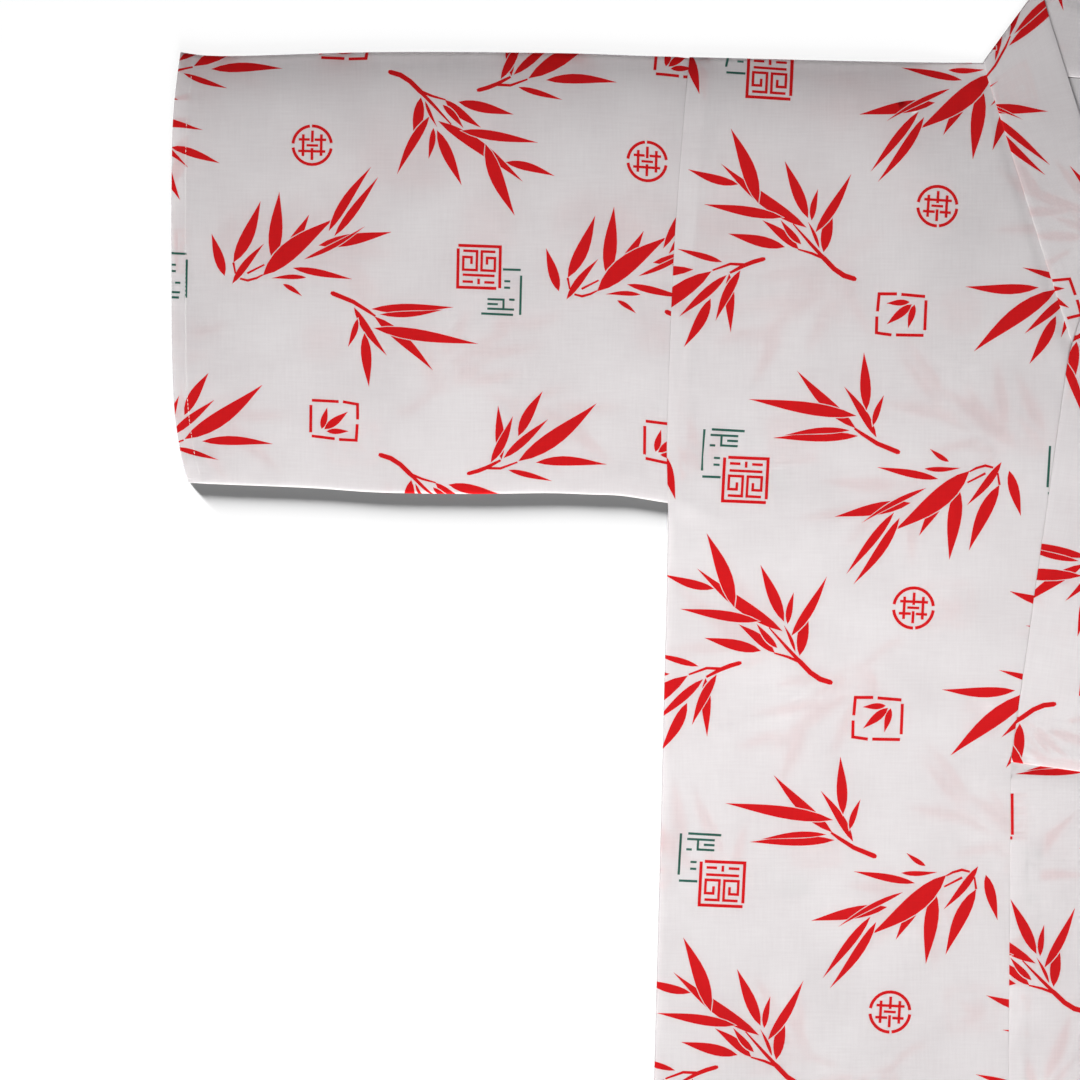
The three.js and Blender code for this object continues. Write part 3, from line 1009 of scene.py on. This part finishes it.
# The stitches that hold each cuff's hem, which show where they cross the red print
stitching = {
    "fromCuff": 9.8,
    "long": 2.5,
    "pitch": 3.1,
    "wide": 0.42,
    "high": 0.26,
    "raised": 0.05,         # how far a stitch's middle lies above the cloth
    "colour": "#f3f0ee",
    "roughness": 0.8,
    "sheen": 0.2,
}


# Spun cotton sewing thread, undyed: matt and a little raised, so it gives a pale broken line on the print
def makeThread():
    material = bpy.data.materials.new("cottonSewingThread")
    material.use_nodes = True
    surface = material.node_tree.nodes["Principled BSDF"]
    surface.inputs["Base Color"].default_value = linear(stitching["colour"])
    surface.inputs["Roughness"].default_value = stitching["roughness"]
    surface.inputs["Sheen Weight"].default_value = stitching["sheen"]
    return material


def makeCuffStitches():
    shape = bmesh.new()
    inset = 2 * sleeveSize["cornerStop"]
    frontEnd = runAt(garment["sleeveDepth"], 1) - inset
    backEnd = runAt(garment["sleeveDepth"], -1) + inset
    for side in (-1, 1):
        for run in spaced(backEnd, frontEnd, stitching["pitch"]):
            middle = placeSleeve(side, stitching["fromCuff"], run)
            before, after = [placeSleeve(side, stitching["fromCuff"], run + step) for step in (-1, 1)]
            inner = placeSleeve(side, stitching["fromCuff"] + 1, run)
            down = (after - before).normalized()
            out = (inner - middle).cross(down).normalized() * side
            turn = Matrix((down, out.cross(down), out)).transposed().to_4x4()
            size = Matrix.Diagonal((*[stitching[k] * mm for k in ("long", "wide", "high")], 1))
            spot = Matrix.Translation(middle + out * stitching["raised"] * mm)
            bmesh.ops.create_icosphere(shape, subdivisions=1, radius=0.5, matrix=spot @ turn @ size)
    mesh = bpy.data.meshes.new("cuffStitches")
    shape.to_mesh(mesh)
    shape.free()
    mesh.materials.append(makeThread())
    return addObject("cuffStitches", mesh)


cuffStitches = makeCuffStitches()
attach(cuffStitches, "root")
print("cuff stitches made:", len(cuffStitches.data.polygons), "faces")

# Okumi: the overlap panel between each front and the collar

okumiSize = {
    "hem": 15,
    "frontHem": 11,
    "seamAllowance": 8,
    "cut": (0.17, 0.67),
    "area": 0.073,
    "print": {
        -1: {"origin": (60, 300), "turned": False, "pull": (1, 1.03, 0, 0)},
        1: {"origin": (-20, 395), "turned": True, "pull": (1, 1.03, 0, 0)},
    },
}


def okumiFree(depth):
    (d0, r0), (d1, r1) = okumiFreeAt
    return lerp(r0, r1, (depth - d0) / (d1 - d0))


def okumiSeamReach(depth):
    return along(frontEdge, depth, rounded=False) - garment["gap"] / 2


def okumiDepth(run):
    start = garment["length"] - cloth["turnRadius"]
    advance, drop = turned(run - start, cloth["turnRadius"])
    return (start + advance, drop) if run > start else (run, 0)


def placeOkumi(side, q, run):
    turn = cloth["turnRadius"]
    depth, drop = okumiDepth(run)
    free, seam = okumiFree(depth), okumiSeamReach(depth)
    if q < (seam - free) / 2:
        advance, sideDrop = turned(turn - q, turn)
        reach = free + turn - advance
    else:
        advance, sideDrop = turned(turn - (seam - free - q), turn)
        reach = seam - turn + advance
    toCollar = depth - along(collarFoot, reach, rounded=False)
    if depth < collarEnd.y:
        toCollar = max(toCollar, reach - along(collarSeamAt, depth, rounded=False))
    fall = cloth["collarFall"] * smooth((cloth["tuckRun"] - toCollar) / cloth["tuckRun"])
    level = garment["frontLevel"] + (garment["layer"] if side > 0 else 0)
    up = level - drop - sideDrop - fall + ripple(side * reach, shoulderY - depth)
    return placed(side, reach, depth, up)


def makeOkumi(side, name):
    turn = cloth["turnRadius"]
    hemTurn = turnRows(garment["length"])
    footTop = frontCorner.y - cloth["tuck"]
    footEnd = collarEnd.y + 4

    def low(run):
        depth = okumiDepth(run)[0]
        if run > hemTurn[0] + cloth["hair"]:
            return cloth["hemSetIn"]
        if depth > footEnd:
            return turn * (1 - math.pi) - okumiSize["frontHem"]
        if depth > footTop:
            return turn
        return along(collarSeamAt, depth, rounded=False) - cloth["tuck"] - okumiFree(depth)

    def high(run):
        depth = okumiDepth(run)[0]
        width = okumiSeamReach(depth) - okumiFree(depth)
        if run > hemTurn[0] + cloth["hair"]:
            return width - cloth["hemSetIn"]
        return width - turn * (1 - math.pi) + okumiSize["seamAllowance"]

    # Rows lie just before and after each step in the outline
    rows = spaced(garment["okumiTop"] - cloth["tuck"], footTop - 0.3, cloth["grid"])
    rows += spaced(footTop + 0.1, footEnd - 0.1, cloth["stepGrid"])
    rows += spaced(footEnd + 0.2, hemTurn[0], cloth["grid"]) + hemTurn[1:]
    rows += spaced(hemTurn[-1], hemTurn[-1] + okumiSize["hem"], cloth["hemGrid"])[1:]
    extra = okumiSize["seamAllowance"] - turn * (1 - math.pi)
    panel = {
        "rows": rows,
        "low": low,
        "high": high,
        "columns": turnColumns,
        "highColumns": [extra + c for c in turnColumns],
        "guideRows": set(hemTurn),
        "flip": side > 0,
    }
    setup = okumiSize["print"][side]

    def clothAt(q, run):
        return side * (okumiFree(run) + q), run

    def flatAt(x, y):
        clothX, run = printed(setup, x, y)
        return side * clothX - okumiFree(run), run

    return makePanel(name, panel, lambda q, run: placeOkumi(side, q, run), clothAt, flatAt)


for side, name, node in ((-1, "okumiRight", "okumi_right"), (1, "okumiLeft", "okumi_left")):
    okumi = makeOkumi(side, name)
    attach(okumi, "root")
    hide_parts(node)
print("okumi made")

# Collar: one strip, folded double along its free edge, round the neck and down both fronts

collarSize = {
    "half": 0.5,            # half of its thickness
    "bendRadius": 0.65,     # where it turns over at the neck
    "fanShare": 0.06,       # near the neck its stations fan out over this share of its length
    "frontSteps": 46,
    "backSteps": 7,
    "bendSteps": 8,
    "cut": (0.118, 1.25),
    "print": {"origin": (-24, 90), "turned": False, "pull": (1, 1, 0, 0)},
}


def pathPoint(path, share):
    lengths = [(b - a).length for a, b in zip(path, path[1:])]
    at = share * sum(lengths)
    for a, b, length in zip(path, path[1:], lengths):
        if at <= length:
            return a.lerp(b, at / length)
        at -= length
    return path[-1].copy()


def pathLength(path):
    return sum((b - a).length for a, b in zip(path, path[1:]))


def collarStations():
    lead = 1 - pathLength(collarSeam) / pathLength(collarFree)
    outward = Vector((-creaseWay.y, creaseWay.x))
    half, bend = collarSize["half"], collarSize["bendRadius"]
    inset = bend + half
    backLevel = half
    frontMid = garment["frontLevel"] - half

    def front(side):
        stations = []
        for k in range(collarSize["frontSteps"] + 1):
            share = k / collarSize["frontSteps"]
            fan = min(1, share / collarSize["fanShare"])
            seam = pathPoint(collarSeam, share)
            free = pathPoint(collarFree, min(1, share + lead * (1 - share) * fan))
            if k == 0:
                seam = seam - outward * inset
                free = free - outward * inset
            stations.append({
                "side": side, "seam": seam, "free": free,
                "up": frontMid, "normal": Vector((0, 0, 1)), "front": True,
            })
        return stations

    def bendOver(side):
        stations = []
        for k in range(1, collarSize["bendSteps"] + 1):
            angle = math.pi * k / collarSize["bendSteps"]
            out, turn = math.sin(angle), math.cos(angle)
            shift = outward * (bend * out - inset)
            stations.append({
                "side": side, "seam": neckPoint + shift, "free": creaseTop + shift,
                "up": backLevel + bend * (1 + turn),
                "normal": Vector((side * outward.x * out, -outward.y * out, turn)), "front": False,
            })
        return stations

    def back(side):
        stations = []
        for k in range(1, collarSize["backSteps"] + 1):
            share = 1 - k / collarSize["backSteps"]
            dip = garment["neckDip"] * (1 - share * share)
            stations.append({
                "side": side,
                "seam": Vector((neckPoint.x * share, neckPoint.y + dip - 2 * garment["gap"])),
                "free": Vector((creaseTop.x * share, creaseTop.y + dip)),
                "up": backLevel, "normal": Vector((0, 0, -1)), "front": False,
            })
        return stations

    right = front(-1)[::-1] + bendOver(-1) + back(-1)
    left = (front(1)[::-1] + bendOver(1) + back(1)[:-1])[::-1]
    return right + left


def stationPoint(station, across, offset):
    spot = station["free"].lerp(station["seam"], across / garment["collarWidth"])
    up = station["up"]
    if station["front"]:
        if station["side"] > 0:
            up += liftAt(spot.x, spot.y)
        up += ripple(station["side"] * spot.x, shoulderY - spot.y)
    base = Vector((station["side"] * spot.x, shoulderY - spot.y, up))
    return (base + station["normal"] * offset) * mm


def makeCollar():
    stations = collarStations()
    middle = garment["collarWidth"] / 2
    runs = [0]
    for before, after in zip(stations, stations[1:]):
        step = (stationPoint(after, middle, 0) - stationPoint(before, middle, 0)).length / mm
        runs.append(runs[-1] + step)
    half = collarSize["half"]
    width = garment["collarWidth"] - garment["gap"]
    total = runs[-1]
    quarter = half * math.pi / 2
    topSpan = width - 2 * half

    # Across the doubled strip: 0 is where the free edge starts to turn under
    def section(q):
        if q < -topSpan:
            angle = min(math.pi / 2, (-q - topSpan) / half)
            return width - half + half * math.sin(angle), half * math.cos(angle)
        if q < 0:
            return half - q, half
        if q < 2 * quarter:
            return half - half * math.sin(q / half), half * math.cos(q / half)
        past = q - 2 * quarter
        if past < topSpan:
            return half + past, -half
        angle = min(math.pi / 2, (past - topSpan) / half)
        return width - half + half * math.sin(angle), -half * math.cos(angle)

    # Along it: the ends are turned in, and close at half its thickness
    def endTurn(run):
        for end, way in ((0, 1), (total, -1)):
            past = half - way * (run - end)
            if past > 0:
                angle = min(math.pi / 2, past / half)
                return end + way * (half - half * math.sin(angle)), math.cos(angle)
        return run, 1

    def place(q, run):
        across, offset = section(q)
        at, thin = endTurn(run)
        k = max(i for i in range(len(runs) - 1) if runs[i] <= at) if at > 0 else 0
        share = (at - runs[k]) / (runs[k + 1] - runs[k])
        first = stationPoint(stations[k], across, offset * thin)
        return first.lerp(stationPoint(stations[k + 1], across, offset * thin), share)

    lowest = half - quarter
    innerRuns = [run for run in runs if half < run < total - half]
    endRuns = [lowest, lowest + quarter * 0.33, lowest + quarter * 0.67, half]
    rows = endRuns + innerRuns + [total - run for run in reversed(endRuns)]
    # Guide lines run across it where it turns over at the neck
    bendRuns = [run for run, station in zip(runs, stations) if abs(station["normal"].z) < 0.999]
    columns = [-topSpan - quarter * k / 3 for k in (0, 1, 2)] + [2 * quarter * k / 6 for k in range(7)]
    columns += [2 * quarter + topSpan + quarter * k / 3 for k in (0, 1, 2)]
    panel = {
        "rows": rows,
        "low": lambda run: -topSpan - quarter,
        "high": lambda run: 2 * quarter + topSpan + quarter,
        "columns": columns,
        "highColumns": [],
        "guideRows": set(rows[:4] + rows[-4:] + bendRuns),
        "flip": False,
    }
    return makePanel("collarStrip", panel, place, lambda q, run: (q, run),
                     lambda x, y: printed(collarSize["print"], x, y))


collar = makeCollar()
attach(collar, "root")
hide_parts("collar")
print("collar made")

# Floor and lights

studio = {
    "floorSize": 40000,
    "floorLevel": -0.3,
    "floorColour": "#686868",
    "floorRoughness": 0.95,
    "keyAt": (-380, -3300, 1350),       # soft light from below the hem, low over the cloth
    "keyAim": (-380, 60, 0),
    "keySize": (1300, 1300),
    "keyPower": 260,
    "poolAt": (-400, 0, 350),           # a strip above the body, whose light falls off towards the shoulder
    "poolSize": (900, 250),
    "poolPower": 1.3,
    "fillAt": (-300, 300, 2600),
    "fillSize": (2600, 2600),
    "fillPower": 12,
    "floorLightTurn": (82.7, 0, 222),   # low from the upper left, on the floor alone, for the short shadow
    "floorLightSoftness": 9.5,
    "floorLightStrength": 158,
    "ambient": 0.12,
    "ambientColour": "#f4f6ff",
}


def makeFloor():
    shape = bmesh.new()
    bmesh.ops.create_grid(shape, x_segments=1, y_segments=1, size=studio["floorSize"] / 2 * mm)
    bmesh.ops.translate(shape, verts=shape.verts, vec=(0, 0, studio["floorLevel"] * mm))
    mesh = bpy.data.meshes.new("floor")
    shape.to_mesh(mesh)
    shape.free()
    material = bpy.data.materials.new("studioFloor")
    material.use_nodes = True
    surface = material.node_tree.nodes["Principled BSDF"]
    surface.inputs["Base Color"].default_value = linear(studio["floorColour"])
    surface.inputs["Roughness"].default_value = studio["floorRoughness"]
    surface.inputs["Specular IOR Level"].default_value = 0
    mesh.materials.append(material)
    floor = addObject("floor", mesh)
    return floor


def addArea(name, at, aim, size, power):
    data = bpy.data.lights.new(name, "AREA")
    data.shape = "RECTANGLE"
    data.size, data.size_y = size[0] * mm, size[1] * mm
    data.energy = power
    light = addObject(name, data)
    light.location = Vector(at) * mm
    light.rotation_euler = (Vector(aim) - Vector(at)).to_track_quat("-Z", "Y").to_euler()
    return light


floor = makeFloor()
poolAt = studio["poolAt"]
pool = addArea("poolLight", poolAt, (poolAt[0], poolAt[1], 0), studio["poolSize"], studio["poolPower"])
pool.visible_camera = False
addArea("keyLight", studio["keyAt"], studio["keyAim"], studio["keySize"], studio["keyPower"])
fillAt = studio["fillAt"]
addArea("fillLight", fillAt, (fillAt[0], fillAt[1], 0), studio["fillSize"], studio["fillPower"])
sunData = bpy.data.lights.new("floorLight", "SUN")
sunData.energy = studio["floorLightStrength"]
sunData.angle = math.radians(studio["floorLightSoftness"])
sun = addObject("floorLight", sunData)
sun.rotation_euler = [math.radians(a) for a in studio["floorLightTurn"]]
floorOnly = bpy.data.collections.new("floorOnly")
floorOnly.objects.link(floor)
sun.light_linking.receiver_collection = floorOnly
world = bpy.data.worlds.new("studio")
world.use_nodes = True
world.node_tree.nodes["Background"].inputs[0].default_value = linear(studio["ambientColour"])
world.node_tree.nodes["Background"].inputs[1].default_value = studio["ambient"]
bpy.context.scene.world = world
bpy.context.scene.view_settings.view_transform = "Standard"
print("floor and lights made")

bpy.context.view_layer.update()
